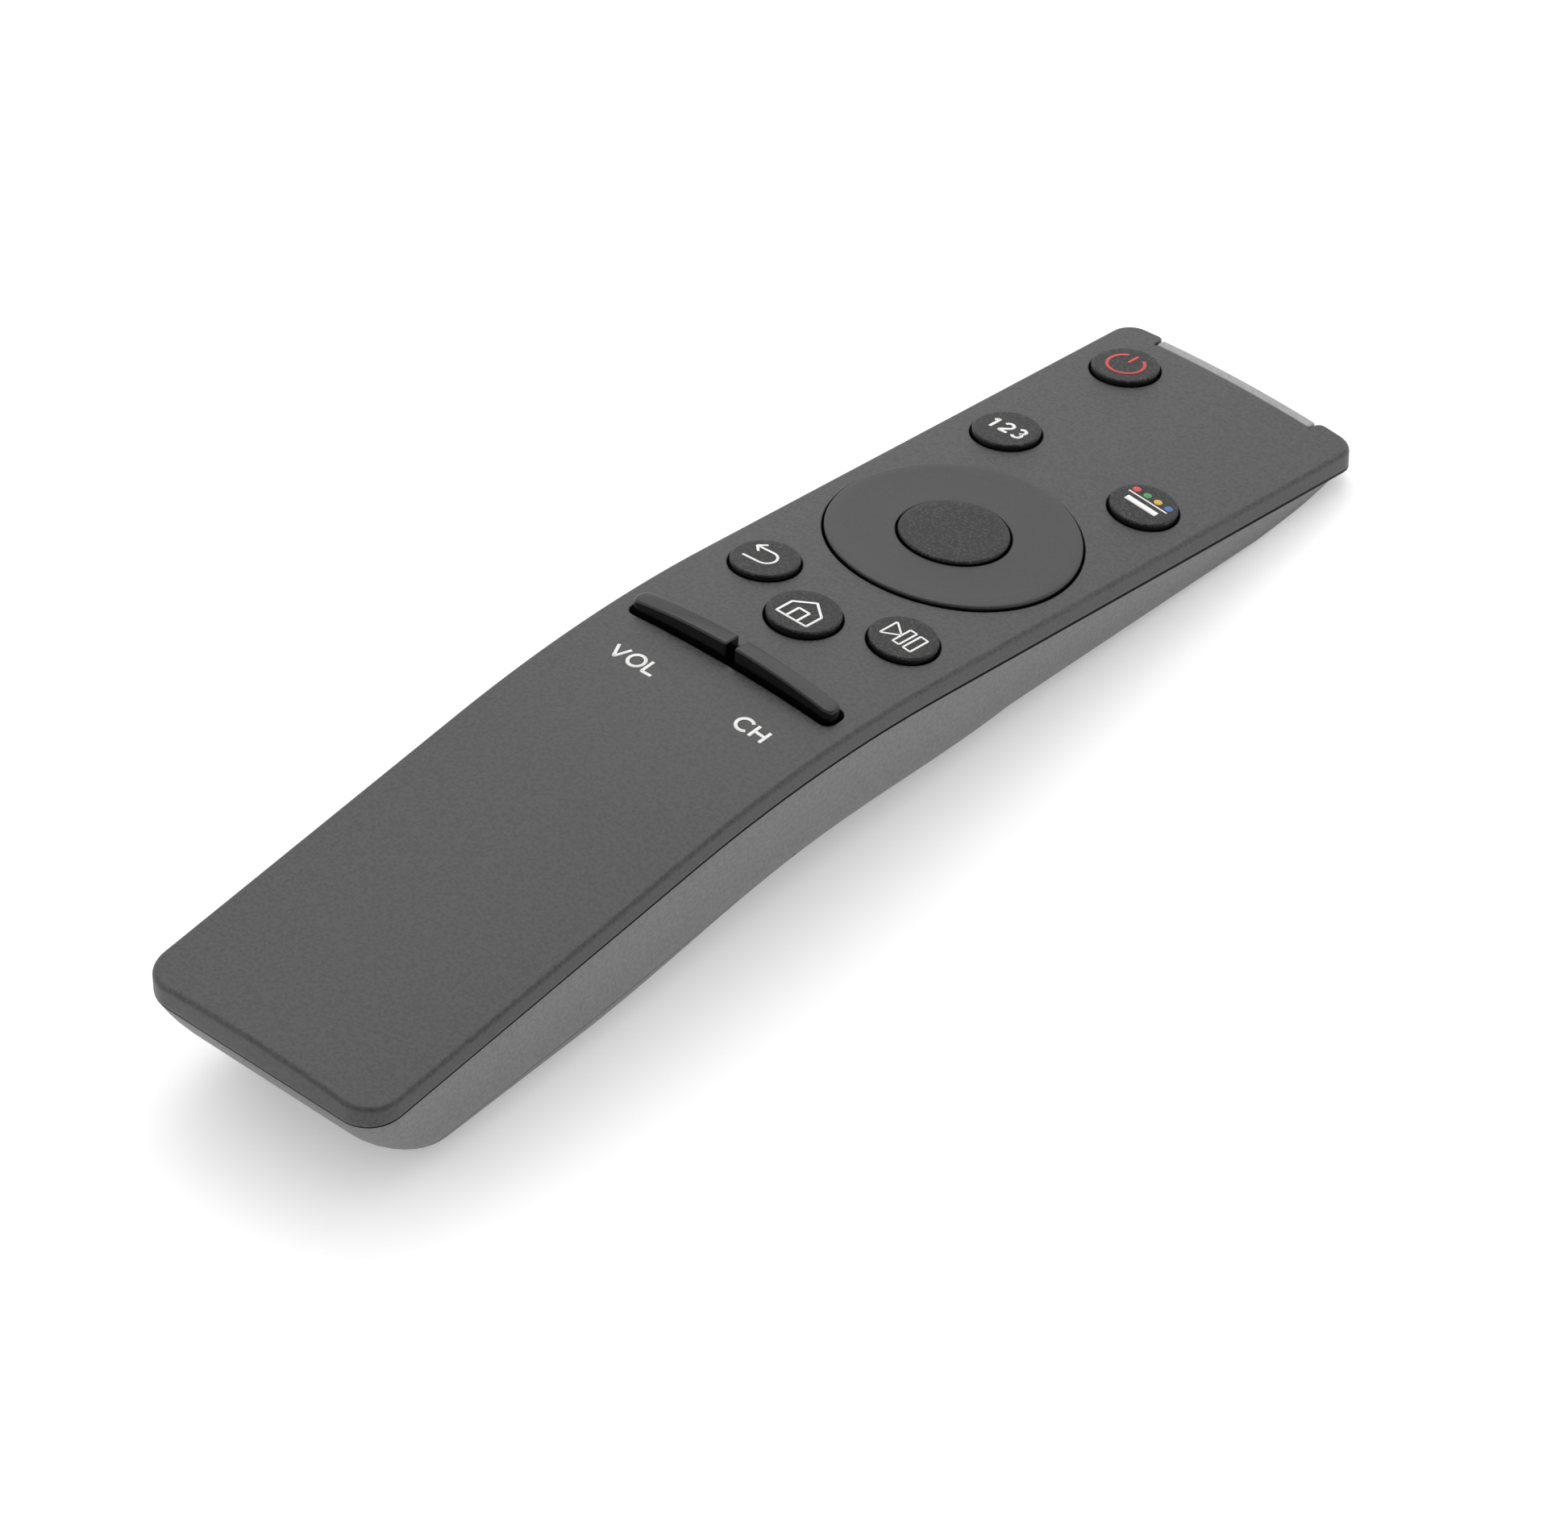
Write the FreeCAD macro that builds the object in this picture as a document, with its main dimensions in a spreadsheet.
"""A slim arched television remote control with a direction ring, seven round buttons and two
rocker bars, as an assembly of separate pieces.

Row frame: +Y runs along the remote to its infrared end, +X to the right of a hand that
holds it, +Z up. The origin is under the middle, on the surface that the belly rests on.
All lengths are millimetres and all angles degrees.
"""
import FreeCAD, Part
import math
import os
import types

import Sketcher

Vector = FreeCAD.Vector
Rotation = FreeCAD.Rotation
Placement = FreeCAD.Placement

# Driving dimensions: name, value. What is "behind" is measured back from the front end.
SIZES = [
    # the arched casing
    ("width", 36.0), ("length", 169.6), ("height", 21.6),
    ("bend_radius", 171.0), ("front_fall", 9.9), ("back_fall", 4.1), ("apex_behind", 105.85),
    ("crown_rise", 1.0), ("band_height", 2.45), ("back_corner", 4.5), ("front_corner", 2.8),
    ("wall", 1.5), ("roof", 1.6), ("belly_wall", 1.4), ("parting_gap", 0.3),
    # the lower housing's outside
    ("belly_corner", 9.0), ("nose_corner", 1.2), ("wall_lean", 1.0),
    ("taper_behind", 61.1), ("nose_behind", 17.1),
    ("arch_behind", 135.1), ("arch_rise", 2.25),
    ("bow_length", 11.6), ("bow_radius", 41.0),
    ("stern_lean", 12.0), ("stern_bulge", 1.6), ("stern_corner", 9.0), ("stern_height", 14.0),
    # the lip that locates the two housings
    ("lip_reach", 1.0), ("lip_wall", 0.5), ("lip_gap", 0.3), ("lip_web", 0.8),
    ("lip_short", 8.0),
    # infrared window
    ("window_width", 24.0), ("window_depth", 1.5), ("window_recess", 0.6),
    ("window_flange", 1.0), ("flange_plate", 0.8), ("seat_gap", 0.1),
    # direction ring and select button, from the ring's centre
    ("ring_behind", 53.9), ("ring_hole", 15.44), ("ring_radius", 15.2), ("ring_bore", 6.85),
    ("ring_proud", 0.45), ("ring_dish", 0.25), ("dish_radius", 60.0), ("ring_rim", 1.2),
    ("ring_plate", 1.95), ("ring_skirt", 0.8), ("ring_room", 0.5),
    ("ring_flange", 15.8), ("ring_flange_depth", 2.45), ("ring_flange_plate", 0.5),
    ("select_radius", 6.6), ("select_flange", 7.5), ("select_flange_depth", 2.2),
    ("gimbal_bore", 8.2), ("gimbal_radius", 10.2), ("gimbal_plate", 0.5),
    ("gimbal_depth", 3.35), ("lug_width", 2.0), ("lug_inset", 0.4), ("tilt_gap", 0.05),
    # round buttons
    ("button_radius", 4.15), ("button_hole", 4.38), ("home_radius", 4.45), ("home_hole", 4.68),
    ("button_proud", 0.7), ("flange_width", 0.85), ("flange_depth", 1.75),
    ("flange_height", 0.55), ("plunger_radius", 1.5), ("travel", 0.5), ("press_gap", 0.12),
    ("side_spacing", 10.6), ("number_ahead", 22.1), ("power_ahead", 44.4),
    ("return_behind", 21.3), ("home_behind", 26.6), ("home_drop", 0.2),
    # rocker bars
    ("rocker_behind", 38.2), ("slot_length", 31.0), ("slot_width", 3.6), ("slot_corner", 1.26),
    ("bar_length", 14.6), ("bar_width", 2.4), ("bar_gap", 1.2), ("bar_proud", 2.2),
    ("bar_crown", 78.0), ("bar_end_round", 1.1), ("bar_inner_round", 0.35),
    ("bar_flange_width", 4.6), ("bar_flange_depth", 2.3), ("bar_flange_plate", 0.5),
    ("lever_width", 3.0), ("lever_depth", 1.4), ("lever_top", 0.9), ("lever_pivot", 4.4),
    ("pivot_radius", 0.8), ("rocker_travel", 0.4), ("socket_gap", 0.08),
    ("switch_length", 8.0), ("switch_width", 6.4), ("switch_height", 2.2), ("cup_room", 0.35),
    # circuit board, keypad and what is on them
    ("board_depth", 3.6), ("board_tilt", 2.2), ("board_side", 2.8), ("board_plate", 0.8),
    ("board_ahead", 3.9), ("board_end", 0.55), ("hole_gap", 0.2),
    ("mat_inset", 0.3), ("mat_plate", 0.6), ("mat_ahead", 3.2), ("mat_end", 0.2),
    ("mat_hole", 2.1), ("pad_radius", 1.9), ("pad_plate", 0.05),
    ("post_radius", 1.8), ("post_spacing", 13.0), ("front_post", 10.9), ("back_post", 74.9),
    ("screw_shank", 0.85), ("screw_gap", 0.05), ("screw_reach", 2.0),
    ("screw_head", 1.6), ("screw_head_height", 0.9),
    ("cross_length", 1.9), ("cross_width", 0.4), ("cross_depth", 0.5),
    ("front_rib", 33.0), ("back_rib", 52.0), ("rib_plate", 1.0), ("rib_gap", 0.3),
    # infrared emitters: two blocks with a round lens each
    ("emitter_near", 3.0), ("emitter_far", 8.5), ("emitter_width", 3.0),
    ("emitter_depth", 1.5), ("emitter_height", 1.6), ("emitter_inset", 0.4),
    ("emitter_lens", 0.7), ("emitter_room", 0.55),
    # battery bay, in the handle's own slope
    ("bay_behind", 160.3), ("bay_length", 57.5), ("bay_tilt", 2.0),
    ("cell_radius", 7.1), ("cell_length", 49.2), ("nub_radius", 2.7), ("nub_length", 1.2),
    ("cell_spacing", 14.5), ("cell_lift", 0.4), ("contact_gap", 0.1),
    ("cradle_gap", 0.15), ("tray_wall", 1.0), ("tray_side", 2.9), ("tray_rise", 6.6),
    ("tray_drop", 5.9), ("tray_front_side", 5.0), ("tray_back_side", 7.0),
    ("tray_back_step", 2.2), ("tray_link", 5.6), ("wall_over", 0.9),
    ("contact_plate", 0.4), ("contact_half", 4.2), ("contact_over", 1.3),
    ("spring_radius", 3.3), ("spring_top_radius", 2.5), ("spring_wire", 0.35),
    ("spring_turns", 4.0), ("leg_width", 2.5), ("leg_reach", 5.2),
    # battery cover
    ("seam_height", 4.4), ("seam_gap", 0.12), ("cover_behind", 99.1),
    ("tongue_width", 7.0), ("tongue_reach", 2.6), ("tongue_plate", 0.8),
    ("tongue_root", 3.0), ("tongue_drop", 1.8), ("tongue_block", 2.6),
    ("guide_low", 3.1), ("guide_top", 5.5), ("guide_inset", 5.9), ("guide_seat", 3.1),
    ("guide_seam_run", 1.5), ("guide_plate", 1.0), ("guide_start", 2.0), ("guide_stop", 6.0),
    ("grip_width", 11.0), ("grip_count", 6.0), ("grip_pitch", 1.8), ("grip_cut", 0.15),
    ("grip_slot", 0.7), ("grip_start", 6.0),
    # foam strip
    ("foam_width", 3.2), ("foam_length", 12.0), ("foam_height", 3.1), ("foam_start", 12.0),
]

doc = FreeCAD.newDocument("Remote")
sheet = doc.addObject("Spreadsheet::Sheet", "Sizes")
for row, (alias, number) in enumerate(SIZES, start=1):
    sheet.set(f"A{row}", alias)
    sheet.set(f"B{row}", str(number))
    sheet.setAlias(f"B{row}", alias)
doc.recompute()


class Size:
    """A number together with the spreadsheet expression that gives it."""

    def __init__(self, number, text):
        self.number = number
        self.text = text

    def __add__(self, other):
        other = as_size(other)
        return Size(self.number + other.number, f"({self.text} + {other.text})")

    def __sub__(self, other):
        other = as_size(other)
        return Size(self.number - other.number, f"({self.text} - {other.text})")

    def __mul__(self, other):
        other = as_size(other)
        return Size(self.number * other.number, f"({self.text} * {other.text})")

    def __truediv__(self, other):
        other = as_size(other)
        return Size(self.number / other.number, f"({self.text} / {other.text})")

    def __neg__(self):
        return Size(-self.number, f"(0 - {self.text})")

    def __radd__(self, other):
        return as_size(other) + self

    def __rsub__(self, other):
        return as_size(other) - self

    def __rmul__(self, other):
        return as_size(other) * self

    def __float__(self):
        return float(self.number)


def as_size(value):
    return value if isinstance(value, Size) else Size(float(value), f"({float(value)!r})")


def sine(angle):
    return Size(math.sin(math.radians(angle.number)), f"sin({angle.text})")


def cosine(angle):
    return Size(math.cos(math.radians(angle.number)), f"cos({angle.text})")


def tangent(angle):
    return Size(math.tan(math.radians(angle.number)), f"tan({angle.text})")


def root(value):
    return Size(math.sqrt(value.number), f"sqrt({value.text})")


def larger(first, second):
    first, second = as_size(first), as_size(second)
    return Size(max(first.number, second.number), f"max({first.text}; {second.text})")


dim = types.SimpleNamespace(**{alias: Size(number, f"Sizes.{alias}") for alias, number in SIZES})


def bind(thing, **properties):
    """Ties properties of an object to sheet expressions."""
    for name, value in properties.items():
        thing.setExpression(name, as_size(value).text)


def place(x=0.0, y=0.0, z=0.0, turn=None):
    return Placement(Vector(float(x), float(y), float(z)), turn or Rotation())


def add(kind, name, placement=None, **properties):
    thing = doc.addObject(kind, name)
    bind(thing, **properties)
    if placement is not None:
        thing.Placement = placement
    return thing


# Sketches
UPRIGHT_ACROSS = Rotation(Vector(1, 0, 0), 90)  # sketch x is X and sketch y is Z
UPRIGHT_ALONG = Rotation(Vector(1, 1, 1), 120)  # sketch x is Y and sketch y is Z


def hold_corner(sketch, edge, end, x, y):
    """Holds one corner at x and y from the sketch's origin, each bound to its expression."""
    for kind, axis, value in (("DistanceX", -2, x), ("DistanceY", -1, y)):
        value = as_size(value)
        if abs(value.number) < 1e-9:
            sketch.addConstraint(Sketcher.Constraint("PointOnObject", edge, end, axis))
            continue
        index = sketch.addConstraint(Sketcher.Constraint(kind, -1, 1, edge, end, value.number))
        sketch.setExpression(f"Constraints[{index}]", value.text)


def draw(sketch, corners):
    """Draws a closed outline counter-clockwise through corners of (x, y) or (x, y, radius).

    The radius belongs to the edge that leaves the corner: that edge is an arc, which bulges
    outward where the radius is positive and inward where it is negative.
    """
    ends = []
    for index, corner in enumerate(corners):
        following = corners[(index + 1) % len(corners)]
        a = Vector(float(as_size(corner[0])), float(as_size(corner[1])))
        b = Vector(float(as_size(following[0])), float(as_size(following[1])))
        if len(corner) == 2:
            sketch.addGeometry(Part.LineSegment(a, b))
            ends.append((1, 2))
            continue
        radius = float(as_size(corner[2]))
        along = b - a
        left = Vector(-along.y, along.x).normalize()
        off = math.sqrt(max(radius ** 2 - along.Length ** 2 / 4, 0.0))
        centre = (a + b) * 0.5 + left * (off if radius > 0 else -off)
        first, last = (a, b) if radius > 0 else (b, a)
        circle = Part.Circle(centre, Vector(0, 0, 1), abs(radius))
        start = math.atan2(first.y - centre.y, first.x - centre.x)
        stop = math.atan2(last.y - centre.y, last.x - centre.x)
        sketch.addGeometry(Part.ArcOfCircle(circle, start, stop))
        ends.append((1, 2) if radius > 0 else (2, 1))
    for index, corner in enumerate(corners):
        following = (index + 1) % len(corners)
        sketch.addConstraint(Sketcher.Constraint(
            "Coincident", index, ends[index][1], following, ends[following][0]))
    for index, corner in enumerate(corners):
        hold_corner(sketch, index, ends[index][0], corner[0], corner[1])
        if len(corner) == 3:
            radius = as_size(corner[2])
            size = radius if radius.number > 0 else -radius
            held = sketch.addConstraint(Sketcher.Constraint("Radius", index, size.number))
            sketch.setExpression(f"Constraints[{held}]", size.text)


def outline(name, placement, corners):
    sketch = doc.addObject("Sketcher::SketchObject", name)
    sketch.Placement = placement
    draw(sketch, corners)
    return sketch


def extrude(name, sketch, length, both_ways=False):
    prism = doc.addObject("Part::Extrusion", name)
    prism.Base = sketch
    prism.DirMode = "Normal"
    prism.Solid = True
    prism.Symmetric = both_ways
    bind(prism, LengthFwd=length)
    return prism


def box(name, frame, centre_x, low_y, low_z, size_x, size_y, size_z):
    """A block centred across on centre_x, from low_y and low_z up, in a frame."""
    corner = place(as_size(centre_x) - as_size(size_x) / 2, as_size(low_y), as_size(low_z))
    return add("Part::Box", name, frame.multiply(corner),
               Length=size_x, Width=size_y, Height=size_z)


def rod(name, frame, x, y, low_z, radius, height):
    """A cylinder that stands along the frame's Z axis."""
    return add("Part::Cylinder", name, frame.multiply(place(x, y, low_z)),
               Radius=radius, Height=height)


def fuse(name, *pieces):
    if len(pieces) == 1:
        return pieces[0]
    joined = doc.addObject("Part::MultiFuse", name)
    joined.Shapes = list(pieces)
    return joined


def common(name, first, *others):
    """What all the pieces share, taken one after the other."""
    shared = first
    for index, other in enumerate(others):
        overlap = doc.addObject("Part::Common", name if index == 0 else f"{name}_{index}")
        overlap.Base = shared
        overlap.Tool = other
        shared = overlap
    return shared


def cut(name, base, *tools):
    result = doc.addObject("Part::Cut", name)
    result.Base = base
    result.Tool = fuse(f"{name}_tools", *tools)
    return result


def group(name, *pieces):
    """Separate solids that share one node."""
    bundle = doc.addObject("Part::Compound", name)
    bundle.Links = list(pieces)
    return bundle


def turned_body(name, frame, corners):
    """A body whose half profile is turned about the frame's Z axis."""
    body = doc.addObject("PartDesign::Body", name)
    body.Placement = frame
    plane = next(f for f in body.Origin.OriginFeatures if f.Role == "XZ_Plane")
    sketch = body.newObject("Sketcher::SketchObject", f"{name}_profile")
    sketch.AttachmentSupport = [(plane, "")]
    sketch.MapMode = "FlatFace"
    draw(sketch, corners)
    turn = body.newObject("PartDesign::Revolution", f"{name}_turn")
    turn.Profile = sketch
    turn.ReferenceAxis = (sketch, ["V_Axis"])
    turn.Angle = 360
    body.Tip = turn
    return body


nodes = {}


def node(name, thing):
    """Registers an object as a kept piece under its own label."""
    thing.Label = name
    nodes[name] = thing
    return thing


# Frames of the curved casing
DEGREES = 180 / math.pi
SINK = 0.2  # how far pieces that are fused reach into each other
half_width = dim.width / 2
half_length = dim.length / 2
apex_y = half_length - dim.apex_behind
arch_back = half_length - dim.arch_behind
taper_start = half_length - dim.taper_behind
taper_end = half_length - dim.nose_behind
bend_end = apex_y + dim.bend_radius * sine(dim.front_fall)
ring_y = half_length - dim.ring_behind * cosine(dim.front_fall)
ring_back = (ring_y - bend_end) / cosine(dim.front_fall)
ring_z = (dim.height - dim.bend_radius * (1 - cosine(dim.front_fall))
          - ring_back * sine(dim.front_fall))
upper = place(0, ring_y, ring_z, Rotation(Vector(1, 0, 0), -dim.front_fall.number))

rocker_angle = dim.front_fall - (dim.rocker_behind - ring_back) / dim.bend_radius * DEGREES
rocker_y = apex_y + dim.bend_radius * sine(rocker_angle)
rocker_z = dim.height - dim.bend_radius * (1 - cosine(rocker_angle))
rocker_frame = place(0, rocker_y, rocker_z, Rotation(Vector(1, 0, 0), -rocker_angle.number))

board_slope = Rotation(Vector(1, 0, 0), dim.board_tilt.number)
board = upper.multiply(place(0, dim.power_ahead, -dim.board_depth, board_slope))

bay_y = half_length - dim.bay_behind
bay = place(0, bay_y, 0, Rotation(Vector(1, 0, 0), dim.bay_tilt.number))


def arch(depth, y):
    """Height of the line that runs at a depth under the top's middle, on its straight ends."""
    if as_size(y).number > 0:
        fall, side = dim.front_fall, 1
    else:
        fall, side = dim.back_fall, -1
    inner = dim.bend_radius - depth
    beyond_bend = (y - apex_y) * side - inner * sine(fall)
    return dim.height - dim.bend_radius + inner * cosine(fall) - beyond_bend * tangent(fall)


def arch_bend(depth, fall, side):
    """Where the bend at a depth meets a straight end: y and z."""
    inner = dim.bend_radius - depth
    return apex_y + side * inner * sine(fall), dim.height - dim.bend_radius + inner * cosine(fall)


def arch_line(depth, front, back):
    """Corners of the line at a depth, from the front end back over the bend."""
    front_y, front_z = arch_bend(depth, dim.front_fall, 1)
    back_y, back_z = arch_bend(depth, dim.back_fall, -1)
    return [
        (front, arch(depth, front)),
        (front_y, front_z, dim.bend_radius - depth),
        (back_y, back_z),
        (back, arch(depth, back)),
    ]


def arch_band(name, top, bottom, front, back, centre_x, width):
    """A slice of the arch between two depths, as wide as asked, centred on centre_x."""
    upper_line = arch_line(top, front, back)
    lower_line = arch_line(bottom, front, back)
    (front_low, bend_low, heel_low, back_low) = lower_line
    corners = upper_line + [
        back_low,
        (heel_low[0], heel_low[1], -(dim.bend_radius - bottom)),
        bend_low[:2],
        front_low,
    ]
    sketch = outline(f"{name}_side", place(centre_x, 0, 0, UPRIGHT_ALONG), corners)
    return extrude(name, sketch, width, both_ways=True)


def plan_corners(half, back, front, back_round, front_round):
    """A rectangle with rounded corners, from back to front."""
    return [
        (-half + back_round, back),
        (half - back_round, back, back_round),
        (half, back + back_round),
        (half, front - front_round, front_round),
        (half - front_round, front),
        (-half + front_round, front, front_round),
        (-half, front - front_round),
        (-half, back + back_round, back_round),
    ]


def plan_prism(name, inset, low, high):
    corners = plan_corners(half_width - inset, -half_length + inset, half_length - inset,
                           dim.back_corner - inset, dim.front_corner - inset)
    sketch = outline(f"{name}_plan", place(0, 0, low), corners)
    return extrude(name, sketch, as_size(high) - low)


# Upper housing: a crowned slab swept along the arch, cut to the rounded plan
edge_depth = dim.crown_rise
parting_depth = dim.crown_rise + dim.band_height
crown_radius = (half_width * half_width + dim.crown_rise * dim.crown_rise) / (2 * dim.crown_rise)
over = as_size(2.0)  # how far a cutting block reaches past what it cuts
tall = dim.height + over
cavity_depth = 10.0


def crowned_slab():
    body = doc.addObject("PartDesign::Body", "crowned_slab")
    body.Placement = place(0, apex_y, dim.height)
    planes = {feature.Role: feature for feature in body.Origin.OriginFeatures}
    section = body.newObject("Sketcher::SketchObject", "crown_section")
    section.AttachmentSupport = [(planes["XZ_Plane"], "")]
    section.MapMode = "FlatFace"
    draw(section, [
        (-half_width, -parting_depth),
        (half_width, -parting_depth),
        (half_width, -edge_depth, crown_radius),
        (-half_width, -edge_depth),
    ])
    for name, fall, side in (("front", dim.front_fall, 1), ("back", dim.back_fall, -1)):
        spine = body.newObject("Sketcher::SketchObject", f"{name}_spine")
        spine.AttachmentSupport = [(planes["YZ_Plane"], "")]
        spine.MapMode = "FlatFace"
        radius = dim.bend_radius
        bend = (side * radius * sine(fall), -radius * (1 - cosine(fall)))
        reach = half_length + over - side * apex_y
        tip = (side * reach, bend[1] - (reach - radius * sine(fall)) * tangent(fall))
        circle = Part.Circle(Vector(0, -radius.number), Vector(0, 0, 1), radius.number)
        turn = math.radians(fall.number)
        quarter = math.pi / 2
        if side > 0:
            spine.addGeometry(Part.ArcOfCircle(circle, quarter - turn, quarter))
            near, far = 2, 1
        else:
            spine.addGeometry(Part.ArcOfCircle(circle, quarter, quarter + turn))
            near, far = 1, 2
        spine.addGeometry(Part.LineSegment(
            Vector(bend[0].number, bend[1].number), Vector(tip[0].number, tip[1].number)))
        spine.addConstraint(Sketcher.Constraint("Coincident", 0, near, -1, 1))
        spine.addConstraint(Sketcher.Constraint("Coincident", 0, far, 1, 1))
        held = spine.addConstraint(Sketcher.Constraint("Radius", 0, radius.number))
        spine.setExpression(f"Constraints[{held}]", radius.text)
        hold_corner(spine, 1, 1, *bend)
        hold_corner(spine, 1, 2, *tip)
        pipe = body.newObject("PartDesign::AdditivePipe", f"{name}_sweep")
        pipe.Profile = section
        pipe.Spine = (spine, ["Edge1", "Edge2"])
        body.Tip = pipe
    return body


slab = common("slab", crowned_slab(), plan_prism("outer_plan", as_size(0), -over, tall))
cavity = common(
    "upper_cavity",
    arch_band("cavity_band", dim.roof, dim.roof + cavity_depth,
              half_length + over, -half_length - over, 0, dim.width - 2 * dim.wall),
    plan_prism("inner_plan", dim.wall, -over, tall),
)
doc.recompute()

# Upper housing: notch, button holes, slot, posts and the lip that reaches into the lower housing
window_half = dim.window_width / 2
side_x = dim.side_spacing
BUTTONS = {
    # name: across, along, cap radius, hole radius
    "power_button": (-side_x, dim.power_ahead, dim.button_radius, dim.button_hole),
    "number_button": (-side_x, dim.number_ahead, dim.button_radius, dim.button_hole),
    "colour_button": (side_x, dim.number_ahead, dim.button_radius, dim.button_hole),
    "return_button": (-side_x, -dim.return_behind, dim.button_radius, dim.button_hole),
    "play_button": (side_x, -dim.return_behind, dim.button_radius, dim.button_hole),
    "home_button": (as_size(0), -dim.home_behind, dim.home_radius, dim.home_hole),
}
deep = as_size(12.0)
hole_height = deep + over
slot_cut = as_size(4.0)
holes = [rod(f"{name}_hole", upper, across, along, -deep, hole, hole_height)
         for name, (across, along, cap, hole) in BUTTONS.items()]
holes.append(rod("ring_opening", upper, 0, 0, -deep, dim.ring_hole, hole_height))
holes.append(rod("ring_room", upper, 0, 0, -deep, dim.ring_flange + dim.ring_room,
                 deep - dim.roof - dim.seat_gap))
slot_end = dim.slot_width / 2
slot_sketch = outline(
    "slot_plan", rocker_frame.multiply(place(0, 0, -slot_cut)),
    plan_corners(dim.slot_length / 2, -slot_end, slot_end, dim.slot_corner, dim.slot_corner))
holes.append(extrude("rocker_slot", slot_sketch, 2 * slot_cut))
window_face = half_length - dim.window_recess
flange_y = window_face - dim.window_depth - dim.seat_gap
holes.append(box("window_notch", place(), 0, flange_y, 0, dim.window_width + 2 * dim.seat_gap,
                 half_length + over - flange_y, dim.height))

post_height = 8.0
under_room = 12.0
end_room = as_size(4.0)
post_places = [(side * dim.post_spacing, -along)
               for along in (dim.front_post, dim.back_post) for side in (-1, 1)]
posts = [rod(f"post_{index}", board, x, y, 0, dim.post_radius, post_height)
         for index, (x, y) in enumerate(post_places)]
under_roof = arch_band("under_roof", dim.roof / 2, dim.roof / 2 + under_room,
                       half_length - end_room, -half_length + end_room, 0,
                       dim.width - 2 * dim.wall)
roof_posts = common("roof_posts", fuse("post_rods", *posts), under_roof)
bores = [rod(f"post_bore_{index}", board, x, y, -over, dim.screw_shank + dim.screw_gap,
             over + dim.screw_reach + SINK)
         for index, (x, y) in enumerate(post_places)]

lip_outer = half_width - dim.wall - dim.lip_gap
lip_inner = lip_outer - dim.lip_wall
lip_front = taper_end - dim.lip_short
lip_back = -half_length + dim.lip_short
lip_top = parting_depth - dim.lip_web - dim.seat_gap


def side_lips():
    """The thin wall below each long edge, with the web that joins it to the housing wall."""
    parts = []
    for side in (-1, 1):
        name = "left" if side < 0 else "right"
        mid = (lip_outer + lip_inner) / 2 * side
        parts.append(arch_band(f"{name}_lip", lip_top, parting_depth + dim.lip_reach,
                               lip_front, lip_back, mid, dim.lip_wall))
        web_mid = (lip_inner + half_width - dim.wall + SINK) / 2 * side
        parts.append(arch_band(f"{name}_web", lip_top, lip_top + dim.lip_web,
                               lip_front, lip_back, web_mid, dim.lip_wall + dim.lip_gap + SINK))
    return parts


shell = cut("upper_shell", slab, cavity)
solid_upper = fuse("upper_solid", shell, roof_posts, *side_lips())
upper_housing = node("upper_housing", cut("upper_cut", solid_upper, *holes, *bores))

# Infrared window: a bar flush with the face, set back a little between the casing's two front
# corners, with a flange behind them
flange_back = flange_y - dim.flange_plate
flange_front = half_length - dim.wall - dim.seat_gap
window_bar = common("window_bar", slab, box(
    "window_block", place(), 0, window_face - dim.window_depth, 0,
    dim.window_width, dim.window_depth, dim.height))
window_flange = common(
    "window_flange",
    arch_band("flange_band", dim.roof + dim.seat_gap, parting_depth - dim.lip_gap,
              flange_front + over, flange_back, 0, dim.window_width + 2 * dim.window_flange),
    fuse("flange_room",
         box("flange_room_wide", place(), 0, flange_back, 0,
             dim.width, flange_front - flange_back, dim.height),
         box("flange_room_narrow", place(), 0, flange_back, 0, dim.window_width,
             dim.flange_plate + dim.seat_gap + SINK, dim.height)))
ir_window = node("ir_window", fuse("window_solid", window_bar, window_flange))

# Lower housing: sections lofted along the length, cut to the belly, the stern and the bow
belly_dip = as_size(0.06)
arch_span = taper_start - arch_back
arch_radius = (arch_span * arch_span / 4 + dim.arch_rise * dim.arch_rise) / (2 * dim.arch_rise)


def belly(y):
    """Height of the belly's middle line at a place along the remote."""
    y = as_size(y)
    if not arch_back.number < y.number < taper_start.number:
        return as_size(0)
    off = y - (taper_start + arch_back) / 2
    return root(arch_radius * arch_radius - off * off) - arch_radius + dim.arch_rise


def corner_at(y):
    """Radius of the belly's long corners at a place along the remote."""
    y = as_size(y)
    if y.number <= taper_start.number:
        return dim.belly_corner
    if y.number >= taper_end.number:
        return dim.nose_corner
    share = (y - taper_start) / (taper_end - taper_start)
    return dim.belly_corner + (dim.nose_corner - dim.belly_corner) * share


def parting_at(y):
    """Height of the parting line at a place along the remote."""
    y = as_size(y)
    front_y = arch_bend(parting_depth, dim.front_fall, 1)[0]
    back_y = arch_bend(parting_depth, dim.back_fall, -1)[0]
    if back_y.number <= y.number <= front_y.number:
        inner = dim.bend_radius - parting_depth
        off = y - apex_y
        return dim.height - dim.bend_radius + root(inner * inner - off * off)
    return arch(parting_depth, y)


ARCH_STEPS, TAPER_STEPS = 6, 3
STATIONS = [
    -half_length - 1,
    *(arch_back + arch_span * (step / ARCH_STEPS) for step in range(ARCH_STEPS)),
    *(taper_start + (taper_end - taper_start) * (step / TAPER_STEPS)
      for step in range(TAPER_STEPS + 1)),
    half_length + 1,
]
least_corner = 0.4


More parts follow.
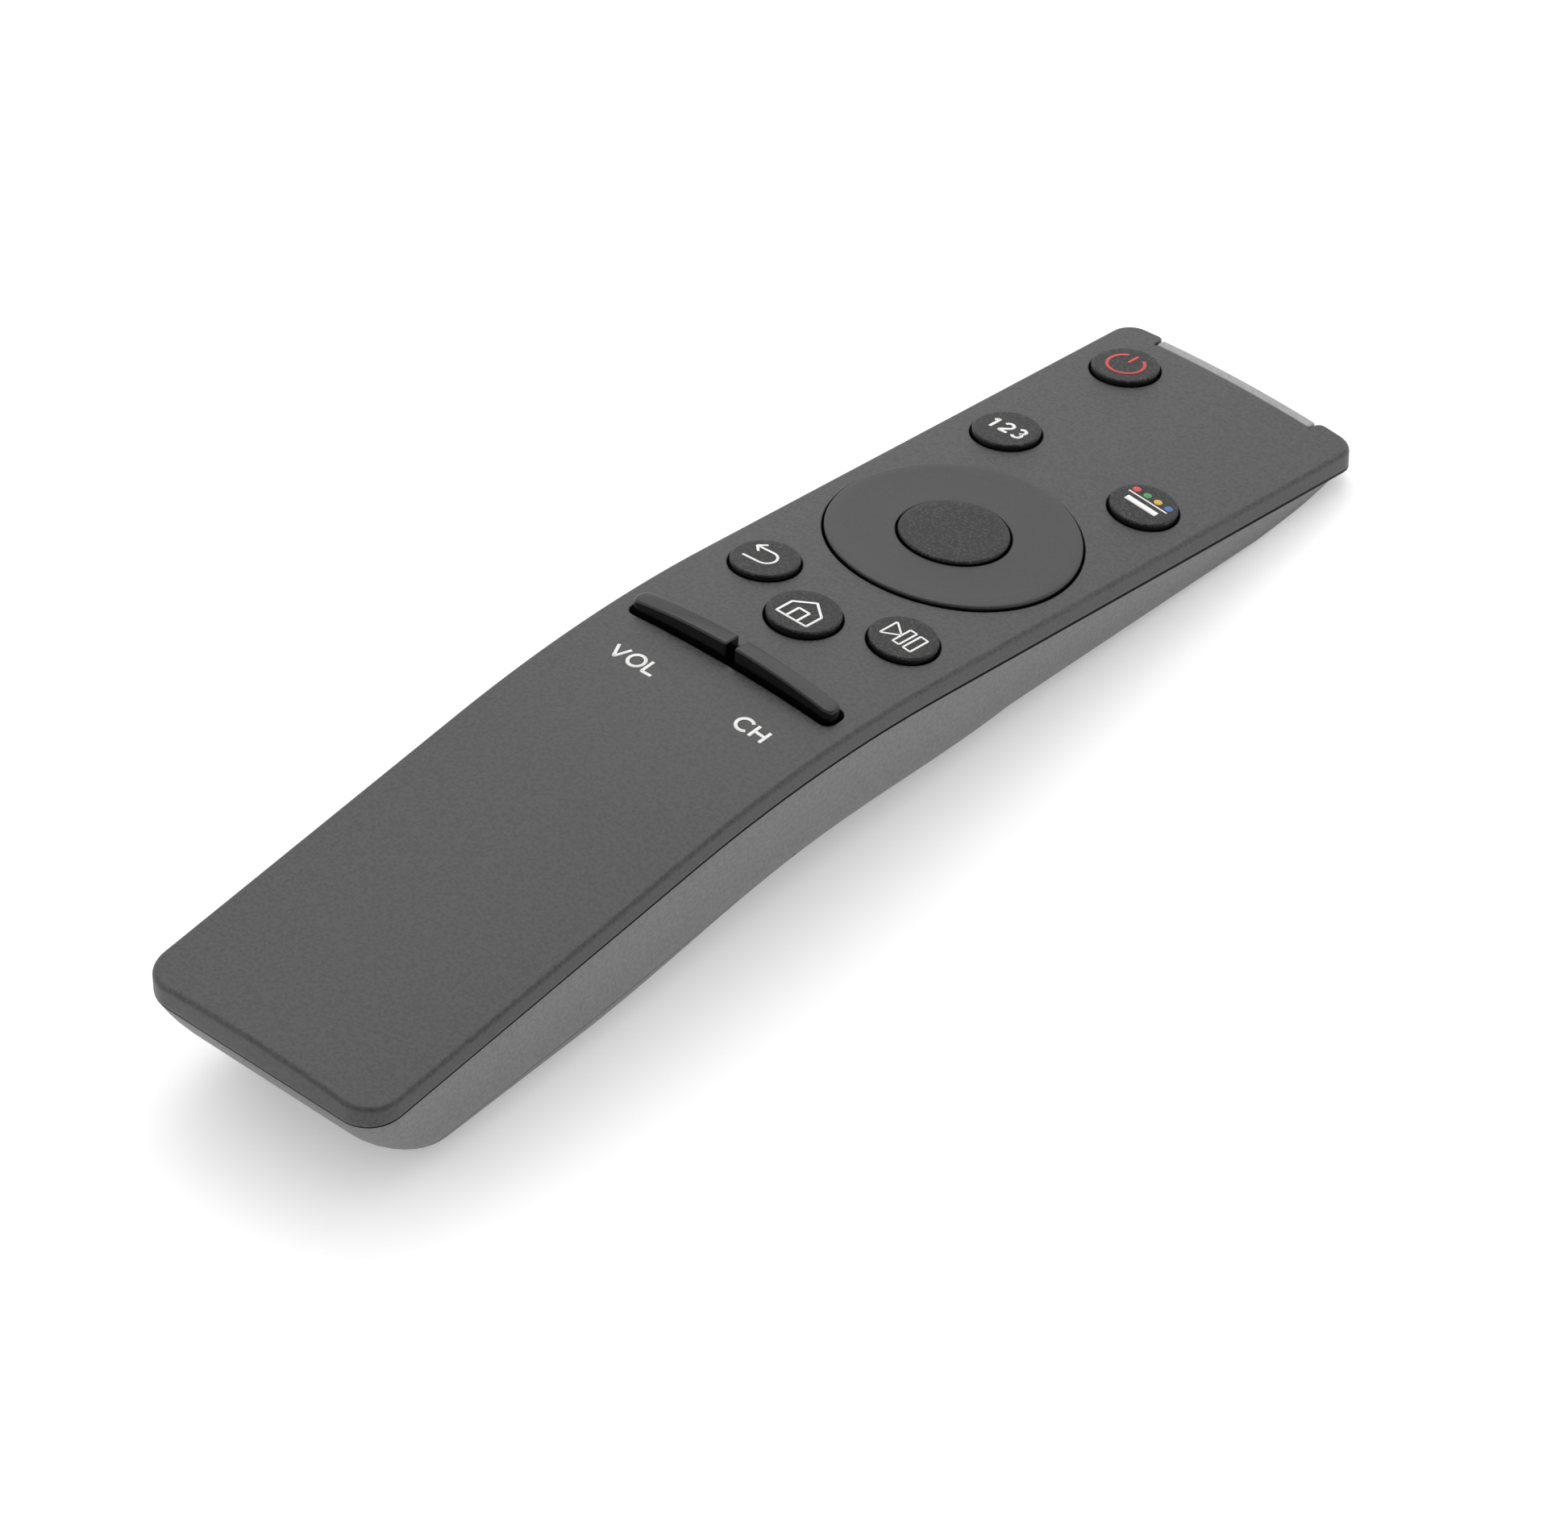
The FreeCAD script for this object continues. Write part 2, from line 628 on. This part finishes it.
def section(name, y, inset, floor):
    base = belly(y) - belly_dip + floor
    corner = larger(corner_at(y) - inset, least_corner)
    lean_x = half_width - dim.wall_lean - inset
    rise = parting_at(y) - belly(y) - corner_at(y)
    slope = dim.wall_lean / rise
    top = tall + 1
    top_x = lean_x + slope * (top - base - corner)
    return outline(name, place(0, as_size(y), 0, UPRIGHT_ACROSS), [
        (-lean_x + corner, base),
        (lean_x - corner, base, corner),
        (lean_x, base + corner),
        (top_x, top),
        (-top_x, top),
        (-lean_x, base + corner, corner),
    ])


def section_loft(name, inset, floor):
    loft = doc.addObject("Part::Loft", f"{name}_sections")
    loft.Sections = [section(f"{name}_section_{index}", y, inset, floor)
                     for index, y in enumerate(STATIONS)]
    loft.Solid = True
    loft.Ruled = True
    return loft


def side_prism(name, top_depth, inset, floor):
    """The side view below a depth of the arch, with the arched belly and the bow."""
    far = half_length + dim.parting_gap
    bow_y = half_length - dim.bow_length
    off = far - bow_y
    bow_far = dim.bow_radius - root(dim.bow_radius * dim.bow_radius - off * off)
    line = arch_line(top_depth, far, -far)
    corners = [
        (-far, floor),
        (arch_back, floor, -arch_radius),
        (taper_start, floor),
        (bow_y, floor, dim.bow_radius),
        (far, bow_far + floor),
    ] + line
    sketch = outline(f"{name}_side", place(0, 0, 0, UPRIGHT_ALONG), corners)
    return extrude(f"{name}_prism", sketch, dim.width * 2, both_ways=True)


def tub(name, inset):
    """The plan view as it narrows down the leaning stern."""
    levels = [
        (as_size(-0.5), dim.stern_lean, dim.stern_corner),
        (dim.stern_height / 2, dim.stern_lean / 2 - dim.stern_bulge,
         (dim.stern_corner + dim.back_corner) / 2),
        (dim.stern_height, as_size(0), dim.back_corner),
    ]
    outlines = []
    for index, (level, lean, corner) in enumerate(levels):
        outlines.append(outline(f"{name}_level_{index}", place(0, 0, level), plan_corners(
            half_width - inset, -half_length + lean + inset, half_length - inset,
            corner - inset, dim.front_corner - inset)))
    loft = doc.addObject("Part::Loft", f"{name}_stern")
    loft.Sections = outlines
    loft.Solid = True
    upper_part = plan_prism(f"{name}_top", inset, dim.stern_height, tall)
    return fuse(f"{name}_tub", loft, upper_part)


def hull(name, inset, floor, top_depth):
    return common(name, section_loft(name, inset, floor),
                  side_prism(name, top_depth, inset, floor), tub(name, inset))


hull_outer = hull("hull_outer", as_size(0), as_size(0), parting_depth + dim.parting_gap)
hull_inner = hull("hull_inner", dim.wall, dim.belly_wall, as_size(0.5))
hull_shell = cut("hull_shell", hull_outer, hull_inner)
doc.recompute()

# The seam of the battery cover: a plane that rises with the bay, and an end across the belly
seam_y = half_length - dim.cover_behind - bay_y
far_off = as_size(20.0)


def below_seam(name, gap):
    """Everything under the seam and behind the cover's front end, drawn back by a gap."""
    return box(name, bay, 0, -far_off, -far_off, dim.width * 2,
               seam_y + far_off - gap, dim.seam_height + far_off - gap)


lower_shell = cut("lower_shell", hull_shell, below_seam("cover_space", as_size(0)))

# Ribs across the belly that carry the circuit board
rib_depth = 14.0
ribs = []
for index, along in enumerate((dim.front_rib, dim.back_rib)):
    plate = box(f"rib_{index}", board, 0, -along, -dim.board_plate - rib_depth,
                dim.width, dim.rib_plate, rib_depth - dim.rib_gap)
    ribs.append(common(f"belly_rib_{index}", plate, hull_inner))

# Cell channels, which the guides and the battery tray leave clear
cell_z = dim.belly_wall + dim.cell_lift + dim.cell_radius
cell_x = dim.cell_spacing / 2
along_bay = Rotation(Vector(1, 0, 0), -90)  # the cylinder's axis runs towards the front


def bay_rod(name, x, low_y, radius, length):
    return add("Part::Cylinder", name, bay.multiply(place(x, low_y, cell_z, along_bay)),
               Radius=radius, Height=length)


cell_channels = [bay_rod(f"channel_{side}", side * cell_x, -over,
                         dim.cell_radius + dim.cradle_gap, dim.bay_length + 2 * over)
                 for side in (-1, 1)]

# Guides that reach down inside the battery cover's sides and keep it straight as it slides
guide_seam = dim.seam_height + dim.seat_gap
guide_toe = half_width - dim.guide_inset
guide_heel = half_width - dim.guide_seat
guide_end = dim.bay_length - dim.guide_stop
guides = []
for side in (-1, 1):
    corners = [
        (guide_toe - dim.guide_plate, dim.guide_low),
        (guide_toe, dim.guide_low),
        (guide_toe + dim.guide_seam_run, guide_seam),
        (guide_heel, guide_seam),
        (guide_heel, dim.guide_top),
        (guide_toe - dim.guide_plate, dim.guide_top),
    ]
    if side < 0:
        corners = [(-x, z) for x, z in reversed(corners)]
    profile = outline(f"guide_profile_{side}",
                      bay.multiply(place(0, guide_end, 0, UPRIGHT_ACROSS)), corners)
    guides.append(extrude(f"guide_rail_{side}", profile, guide_end - dim.guide_start))
guide_rails = cut("guide_rails", fuse("guide_pair", *guides), *cell_channels)
lower_housing = node("lower_housing", fuse("lower_solid", lower_shell, *ribs, guide_rails))

# Battery cover: the belly below the seam, with a tongue and grip grooves
cover_skin = common("cover_skin", hull_shell, below_seam("cover_room", dim.seam_gap))
root_y = seam_y - dim.tongue_root
tongue = box("cover_tongue", bay, 0, root_y, dim.belly_wall + dim.arch_rise - dim.tongue_drop,
             dim.tongue_width, dim.tongue_root + dim.tongue_reach, dim.tongue_plate)
tongue_low = cut("tongue_low", tongue, cut("below_floor", hull_outer, hull_inner))
tongue_root = common("tongue_root", hull_inner, box(
    "tongue_block", bay, 0, root_y, 0, dim.tongue_width, dim.tongue_root - dim.seam_gap,
    dim.tongue_block))
grips = [box(f"grip_{index}", bay, 0, dim.grip_start + index * dim.grip_pitch, -over,
             dim.grip_width, dim.grip_slot, over + dim.grip_cut)
         for index in range(round(dim.grip_count.number))]
battery_cover = node("battery_cover", cut(
    "cover_solid", fuse("cover_parts", cover_skin, tongue_root, tongue_low), *grips))
doc.recompute()


def crown_rod(name, frame, rise, radius):
    """A long cylinder whose top follows a crown, raised above the frame's plane."""
    along = frame.multiply(place(0, -far_off, as_size(rise) - radius, along_bay))
    return add("Part::Cylinder", name, along, Radius=radius, Height=2 * far_off)


def board_depth_at(along):
    """Depth of the circuit board's top under the upper plane, at a place along it."""
    return dim.board_depth + (dim.power_ahead - along) * tangent(dim.board_tilt)


def crowned(name, body, frame, rise, radius):
    return common(name, body, crown_rod(f"{name}_crown", frame, rise, radius))


# Round buttons: a cap with a flange under the roof and a plunger over the board
def button_profile(cap, flange, flange_depth, along):
    plunger_end = board_depth_at(along) - dim.travel - dim.press_gap
    top = dim.button_proud + SINK
    return [
        (as_size(0), -plunger_end),
        (dim.plunger_radius, -plunger_end),
        (dim.plunger_radius, -flange_depth - dim.flange_height),
        (flange, -flange_depth - dim.flange_height),
        (flange, -flange_depth),
        (cap, -flange_depth),
        (cap, top),
        (as_size(0), top),
    ]


for name, (across, along, cap, hole) in BUTTONS.items():
    frame = upper.multiply(place(across, along))
    drop = dim.home_drop if name == "home_button" else as_size(0)
    body = turned_body(f"{name}_body", frame, button_profile(
        cap, cap + dim.flange_width, dim.flange_depth + drop, along))
    rod_frame = upper.multiply(place(0, along))
    node(name, crowned(f"{name}_solid", body, rod_frame, dim.button_proud, crown_radius))

# Select button in the middle of the direction ring
select_end = board_depth_at(as_size(0)) - dim.travel - dim.press_gap
select_top = dim.ring_proud + dim.seat_gap
select_body = turned_body("select_body", upper, [
    (as_size(0), -select_end),
    (dim.plunger_radius, -select_end),
    (dim.plunger_radius, -dim.select_flange_depth - dim.flange_height),
    (dim.select_flange, -dim.select_flange_depth - dim.flange_height),
    (dim.select_flange, -dim.select_flange_depth),
    (dim.select_radius, -dim.select_flange_depth),
    (dim.select_radius, select_top),
    (as_size(0), select_top),
])
node("select_button", crowned("select_solid", select_body, upper, select_top, crown_radius))

# Direction ring: a shallow dish with a skirt and a flange under the roof
ring_under = dim.ring_plate - dim.ring_proud
flange_low = dim.ring_flange_depth + dim.ring_flange_plate
dish_low = dim.ring_proud - dim.ring_dish
ring_body = turned_body("ring_body", upper, [
    (dim.ring_bore, -ring_under),
    (dim.ring_radius - dim.ring_skirt, -ring_under),
    (dim.ring_radius - dim.ring_skirt, -flange_low),
    (dim.ring_flange, -flange_low),
    (dim.ring_flange, -dim.ring_flange_depth),
    (dim.ring_radius, -dim.ring_flange_depth),
    (dim.ring_radius, dim.ring_proud),
    (dim.ring_radius - dim.ring_rim, dim.ring_proud, -dim.dish_radius),
    (dim.ring_bore, dish_low),
])
node("direction_ring", crowned("ring_solid", ring_body, upper, dim.ring_proud, crown_radius))

# Gimbal ring under the direction ring: lugs carry the ring ahead and behind, feet stand beside
gimbal_low = dim.gimbal_depth + dim.gimbal_plate
gimbal_plate = turned_body("gimbal_body", upper, [
    (dim.gimbal_bore, -gimbal_low),
    (dim.gimbal_radius, -gimbal_low),
    (dim.gimbal_radius, -dim.gimbal_depth),
    (dim.gimbal_bore, -dim.gimbal_depth),
])
gimbal_mid = (dim.gimbal_bore + dim.gimbal_radius) / 2
lug_size = dim.gimbal_radius - dim.gimbal_bore - dim.lug_inset
lug_low = -gimbal_low + SINK
lug_top = -ring_under - dim.tilt_gap
foot_low = -board_depth_at(as_size(0)) + dim.mat_plate + 2 * dim.tilt_gap
foot_top = -dim.gimbal_depth - SINK
lugs = [box(f"lug_{side}", upper, 0, side * gimbal_mid - lug_size / 2, lug_low,
            dim.lug_width, lug_size, lug_top - lug_low) for side in (1, -1)]
feet = [box(f"foot_{side}", upper, side * gimbal_mid, -dim.lug_width / 2, foot_low,
            lug_size, dim.lug_width, foot_top - foot_low) for side in (1, -1)]
node("ring_gimbal", fuse("gimbal_solid", gimbal_plate, *lugs, *feet))

# Rocker bars: each a bar that stands through the slot, on a lever in a switch
bar_middle = (dim.bar_length + dim.bar_gap) / 2
bar_half = dim.bar_length / 2
bar_low = dim.bar_flange_depth + dim.bar_flange_plate
socket_ceiling = dim.lever_top - dim.rocker_travel - dim.socket_gap


def bar_plan(side):
    """The bar's outline from above: rounded at its outer end, nearly square at its inner."""
    half = dim.bar_width / 2
    inner, outer = dim.bar_inner_round, dim.bar_end_round
    near, far = (inner, outer) if side > 0 else (outer, inner)
    return [
        (-bar_half + near, -half),
        (bar_half - far, -half, far),
        (bar_half, -half + far),
        (bar_half, half - far, far),
        (bar_half - far, half),
        (-bar_half + near, half, near),
        (-bar_half, half - near),
        (-bar_half, -half + near, near),
    ]


pivot_turn = Rotation(Vector(0, 1, 0), 90)
pivot_spot = board.inverse().multVec(rocker_frame.multVec(Vector(0, 0, -dim.lever_pivot.number)))
switch_y = as_size(pivot_spot.y)
cup_low = as_size(pivot_spot.z) - dim.pivot_radius - dim.socket_gap
cup_half = dim.pivot_radius + dim.cup_room
for name, side in (("volume", -1), ("channel", 1)):
    middle = side * bar_middle
    stand = rocker_frame.multiply(place(middle, 0, -bar_low))
    bar = extrude(f"{name}_bar", outline(f"{name}_bar_plan", stand, bar_plan(side)),
                  bar_low + dim.bar_proud + SINK)
    flange = box(f"{name}_bar_flange", rocker_frame, middle, -dim.bar_flange_width / 2, -bar_low,
                 dim.bar_length, dim.bar_flange_width, dim.bar_flange_plate)
    blank = fuse(f"{name}_bar_blank", bar, flange)
    topped = crowned(f"{name}_bar_top", blank, rocker_frame, dim.bar_proud, dim.bar_crown)
    socket = box(f"{name}_socket", rocker_frame, middle,
                 -dim.lever_depth / 2 - dim.socket_gap, -bar_low - over,
                 dim.lever_width + 2 * dim.socket_gap, dim.lever_depth + 2 * dim.socket_gap,
                 bar_low + over - socket_ceiling)
    node(f"{name}_rocker", cut(f"{name}_rocker_solid", topped, socket))

    post = box(f"{name}_post", rocker_frame, middle, -dim.lever_depth / 2, -dim.lever_pivot,
               dim.lever_width, dim.lever_depth, dim.lever_pivot - dim.lever_top)
    pivot = add("Part::Cylinder", f"{name}_pivot", rocker_frame.multiply(place(
        middle - dim.lever_width / 2, 0, -dim.lever_pivot, pivot_turn)),
        Radius=dim.pivot_radius, Height=dim.lever_width)
    node(f"{name}_lever", fuse(f"{name}_lever_solid", post, pivot))

    # The switch stands on the board; its cup takes the lever's rounded foot
    block = box(f"{name}_block", board, middle, switch_y - dim.switch_width / 2, 0,
                dim.switch_length, dim.switch_width, dim.switch_height)
    cup = box(f"{name}_cup", board, middle, switch_y - cup_half, cup_low,
              dim.lever_width + 2 * dim.socket_gap, 2 * cup_half, dim.switch_height + over)
    node(f"{name}_switch", cut(f"{name}_switch_solid", block, cup))

# Circuit board with its screw holes, from behind the window to just ahead of the battery tray
board_width = dim.width - 2 * dim.board_side
tray_end = bay.multVec(Vector(0, float(dim.bay_length + dim.tray_wall), float(dim.seam_height)))
board_back = as_size(board.inverse().multVec(tray_end).y) + dim.board_end
board_plate = box("board_plate", board, 0, board_back, -dim.board_plate,
                  board_width, dim.board_ahead - board_back, dim.board_plate)
board_holes = [rod(f"board_hole_{index}", board, x, y, -over, dim.screw_shank + dim.hole_gap,
                   2 * over)
               for index, (x, y) in enumerate(post_places)]
node("circuit_board", cut("board_solid", board_plate, *board_holes))

# Keypad mat on the board, open where the plungers, posts and emitters pass
mat_back = switch_y + dim.switch_width / 2 + dim.mat_end
mat_blank = box("mat_plate_blank", board, 0, mat_back, 0,
                board_width - 2 * dim.mat_inset, dim.mat_ahead - mat_back, dim.mat_plate)
plungers = [(across, along) for across, along, cap, hole in BUTTONS.values()]
plungers.append((as_size(0), as_size(0)))
mat_holes, pads = [], []
for index, (across, along) in enumerate(plungers):
    spot = board.inverse().multVec(upper.multVec(
        Vector(float(across), float(along), -float(board_depth_at(along)))))
    mat_holes.append(rod(f"mat_hole_{index}", board, spot.x, spot.y, -over, dim.mat_hole,
                         2 * over))
    pads.append(rod(f"pad_{index}", board, spot.x, spot.y, 0, dim.pad_radius, dim.pad_plate))
for index, (x, y) in enumerate(post_places):
    mat_holes.append(rod(f"mat_post_{index}", board, x, y, -over,
                         dim.post_radius + dim.hole_gap, 2 * over))
emitter_back = dim.board_ahead - dim.emitter_inset - dim.emitter_depth
notch_y = emitter_back - dim.emitter_room
notch_span = dim.emitter_far - dim.emitter_near + dim.emitter_width
mat_holes.append(box("mat_notch", board, (dim.emitter_near + dim.emitter_far) / 2, notch_y,
                     -over, notch_span + 2 * dim.emitter_room,
                     dim.board_ahead + over - notch_y, 2 * over))
node("keypad_mat", cut("mat_solid", mat_blank, *mat_holes))
node("contact_pads", group("pad_group", *pads))

# Screws that hold the board to the posts
head_low = -dim.board_plate - dim.screw_head_height
cross_low = head_low - over
screws = []
for index, (x, y) in enumerate(post_places):
    head = rod(f"screw_head_{index}", board, x, y, head_low, dim.screw_head,
               dim.screw_head_height)
    shank = rod(f"screw_shank_{index}", board, x, y, -dim.board_plate - SINK, dim.screw_shank,
                dim.board_plate + SINK + dim.screw_reach)
    crosses = [
        box(f"screw_cross_{index}_{turn}", board, x, y - deep_side / 2, cross_low,
            wide_side, deep_side, over + dim.cross_depth)
        for turn, (wide_side, deep_side) in enumerate((
            (dim.cross_length, dim.cross_width), (dim.cross_width, dim.cross_length)))]
    blank = fuse(f"screw_blank_{index}", head, shank)
    screws.append(cut(f"screw_{index}", blank, *crosses))
node("board_screws", group("screw_group", *screws))

# Infrared emitters on the board's front edge, behind the window
emitters = []
for index, x in enumerate((dim.emitter_near, dim.emitter_far)):
    block = box(f"emitter_block_{index}", board, x, emitter_back, 0,
                dim.emitter_width, dim.emitter_depth, dim.emitter_height)
    lens_place = place(x, dim.board_ahead - dim.emitter_inset, dim.emitter_height / 2)
    lens = add("Part::Sphere", f"emitter_lens_{index}", board.multiply(lens_place),
               Radius=dim.emitter_lens)
    emitters.append(fuse(f"emitter_{index}", block, lens))
node("ir_emitters", group("emitter_group", *emitters))


# Electronics under the board
def under_board(name, x, y, size_x, size_y, thick):
    return box(name, board, x, y - size_y / 2, -dim.board_plate - thick, size_x, size_y, thick)


CHIPS = {
    # node: across, along, width, length, height
    "main_chip": (1.0, -43.0, 7.0, 7.0, 0.9),
    "memory_chip": (9.5, -43.0, 5.0, 6.0, 1.0),
    "crystal": (-6.5, -42.0, 3.2, 2.5, 0.8),
    "radio_chip": (-6.5, -23.5, 5.0, 5.0, 0.9),
    "power_coil": (8.5, -62.0, 4.0, 4.0, 2.0),
}
for name, (x, y, size_x, size_y, thick) in CHIPS.items():
    node(name, under_board(f"{name}_block", x, y, size_x, size_y, thick))

shield_x, shield_y = CHIPS["radio_chip"][:2]
shield_width, shield_length, shield_height, shield_plate = 13.0, 12.0, 2.0, 0.2
shield_outer = under_board("shield_outer", shield_x, shield_y,
                           shield_width, shield_length, shield_height)
shield_inner = under_board("shield_inner", shield_x, shield_y, shield_width - 2 * shield_plate,
                           shield_length - 2 * shield_plate, shield_height - shield_plate)
node("radio_shield", cut("shield_solid", shield_outer, shield_inner))

can_x, can_y, can_radius, can_height = -8.5, -62.0, 2.5, 5.4
node("reservoir_capacitor", rod("capacitor_can", board, can_x, can_y,
                                -dim.board_plate - can_height, can_radius, can_height))

chip_x, chip_y, chip_pitch, row_pitch = -6.25, -56.0, 2.5, 12.0
chip_width, chip_length, chip_height = 1.6, 0.8, 0.5
chips = [under_board(f"chip_{row}_{column}", chip_x + chip_pitch * column,
                     chip_y - row_pitch * row, chip_width, chip_length, chip_height)
         for row in range(2) for column in range(6)]
node("chip_components", group("chip_group", *chips))

aerial_x, aerial_y, aerial_length, aerial_width = 9.0, -26.0, 10.0, 1.2
aerial_drop, aerial_plate = 1.6, 0.3
antenna_arm = box("antenna_arm", board, aerial_x, aerial_y, -dim.board_plate - aerial_drop,
                  aerial_width, aerial_length, aerial_plate)
antenna_leg = box("antenna_leg", board, aerial_x, aerial_y + aerial_length - aerial_plate,
                  -dim.board_plate - aerial_drop, aerial_width, aerial_plate, aerial_drop)
node("antenna", fuse("antenna_solid", antenna_arm, antenna_leg))

# Battery bay: two cells side by side between sprung and flat contacts
nose = dim.contact_plate + dim.contact_gap
left_low = nose + dim.nub_length
right_low = dim.bay_length - nose - dim.nub_length - dim.cell_length
node("left_cell", fuse(
    "left_cell_solid",
    bay_rod("left_can", -cell_x, left_low, dim.cell_radius, dim.cell_length),
    bay_rod("left_nub", -cell_x, nose, dim.nub_radius, dim.nub_length + SINK)))
node("right_cell", fuse(
    "right_cell_solid",
    bay_rod("right_can", cell_x, right_low, dim.cell_radius, dim.cell_length),
    bay_rod("right_nub", cell_x, right_low + dim.cell_length - SINK,
            dim.nub_radius, dim.nub_length + SINK)))

tray_low = cell_z - dim.tray_drop
tray_high = cell_z + dim.tray_rise
tray_width = dim.width - 2 * dim.tray_side
front_width = dim.width - 2 * dim.tray_front_side
back_width = dim.width - 2 * dim.tray_back_side
cradle_start = dim.contact_plate + dim.contact_gap
cradle_stop = dim.bay_length - dim.contact_plate - dim.contact_gap
cradle = cut("cradle", box("cradle_block", bay, 0, cradle_start, cell_z, tray_width,
                           cradle_stop - cradle_start, dim.tray_rise), *cell_channels)
wall_top = cell_z + dim.contact_half + dim.wall_over
front_wall = box("tray_front", bay, 0, dim.bay_length, tray_low, front_width, dim.tray_wall,
                 wall_top - tray_low)
back_low = tray_low + dim.tray_back_step
back_wall = box("tray_back", bay, 0, -dim.tray_wall, back_low, back_width, dim.tray_wall,
                tray_high - back_low)
front_link = box("tray_front_link", bay, 0, cradle_stop - SINK, cell_z, dim.tray_link,
                 dim.bay_length - cradle_stop + 2 * SINK, wall_top - cell_z)
link_low = cell_z + dim.contact_half + SINK
back_link = box("tray_back_link", bay, 0, -SINK, link_low, back_width, cradle_start + 2 * SINK,
                tray_high - link_low)
tray_blank = fuse("tray_blank", cradle, front_wall, back_wall, front_link, back_link)
tray_room = common("tray_room", hull_inner, arch_band(
    "tray_room_band", dim.roof + SINK, dim.height, half_length, -half_length, 0,
    2 * (lip_inner - dim.seat_gap)))
node("battery_tray", common("tray_solid", tray_blank, tray_room))

# Contacts: a plate with two springs' worth of cells joined at the back, two leads in front
contact_low = cell_z - dim.contact_half
contact_high = 2 * dim.contact_half
joining = box("joining_plate", bay, 0, 0, contact_low, dim.cell_spacing + 2 * dim.contact_half,
              dim.contact_plate, contact_high)
node("joining_contact", joining)
front_y = dim.bay_length - dim.contact_plate
for name, side in (("negative_contact", -1), ("positive_contact", 1)):
    plate = box(f"{name}_plate", bay, side * cell_x, front_y, contact_low,
                2 * dim.contact_half, dim.contact_plate, contact_high + dim.contact_over)
    leg_low = contact_low + contact_high + dim.contact_over - dim.contact_plate
    leg = box(f"{name}_leg", bay, side * cell_x, front_y, leg_low, dim.leg_width,
              dim.leg_reach + dim.contact_plate, dim.contact_plate)
    node(name, fuse(f"{name}_solid", plate, leg))


def cone_spring(name, x, from_y, to_y, facing):
    """A coil that narrows from its contact plate to the cell's flat end.

    It is made of half rings, each tilted so that its far end is half a pitch higher. They meet
    with one direction, because each tilt axis runs along the wire at both ends.
    """
    turn = Rotation(Vector(1, 0, 0), -90 if facing > 0 else 90)
    frame = bay.multiply(place(x, from_y if facing > 0 else to_y, cell_z, turn))
    halves = round(2 * dim.spring_turns.number)
    rise = (to_y - from_y) / halves
    step = (dim.spring_radius - dim.spring_top_radius) / halves
    rings = []
    for index in range(halves):
        near = dim.spring_radius - step * index
        far = near - step
        span = near + far
        side = 1 if index % 2 == 0 else -1
        tilt = Rotation(Vector(0, 1, 0), math.degrees(math.atan2(float(rise), float(span))))
        swing = Rotation(Vector(0, 0, 1), 0 if side > 0 else 180)
        middle = place(step * side / 2, 0, rise * (index + 0.5), swing.multiply(tilt))
        rings.append(add("Part::Torus", f"{name}_half_{index}", frame.multiply(middle),
                         Radius1=root(span * span + rise * rise) / 2,
                         Radius2=dim.spring_wire, Angle3=180))
    return fuse(f"{name}_coil", *rings)


rest = dim.spring_wire + dim.contact_gap
node("joining_spring", cone_spring("joining_spring", cell_x, dim.contact_plate + rest,
                                   right_low - rest, 1))
node("negative_spring", cone_spring("negative_spring", -cell_x,
                                    left_low + dim.cell_length + rest, front_y - rest, -1))

# Foam strip on the cover, in the valley between the cells
foam_block = box("foam_block", bay, 0, dim.foam_start, 0, dim.foam_width, dim.foam_length,
                 dim.foam_height)
node("foam_strip", common("foam_solid", foam_block, hull_inner))

doc.recompute()

# Stop where an object failed or a piece isn't a sound solid
for thing in doc.Objects:
    if "Invalid" in thing.State or "Error" in thing.State:
        raise RuntimeError(f"{thing.Name} failed: {thing.State}")
for name, thing in nodes.items():
    if thing.Shape.isNull() or not thing.Shape.isValid() or not thing.Shape.Solids:
        raise RuntimeError(f"{name} has no sound solid")

os.makedirs("parts", exist_ok=True)
for name, thing in nodes.items():
    thing.Shape.exportStep(f"parts/{name}.step")
    volume = sum(solid.Volume for solid in thing.Shape.Solids)
    print(f"{name}: {len(thing.Shape.Solids)} solids, {volume:.2f} cubic millimetres")
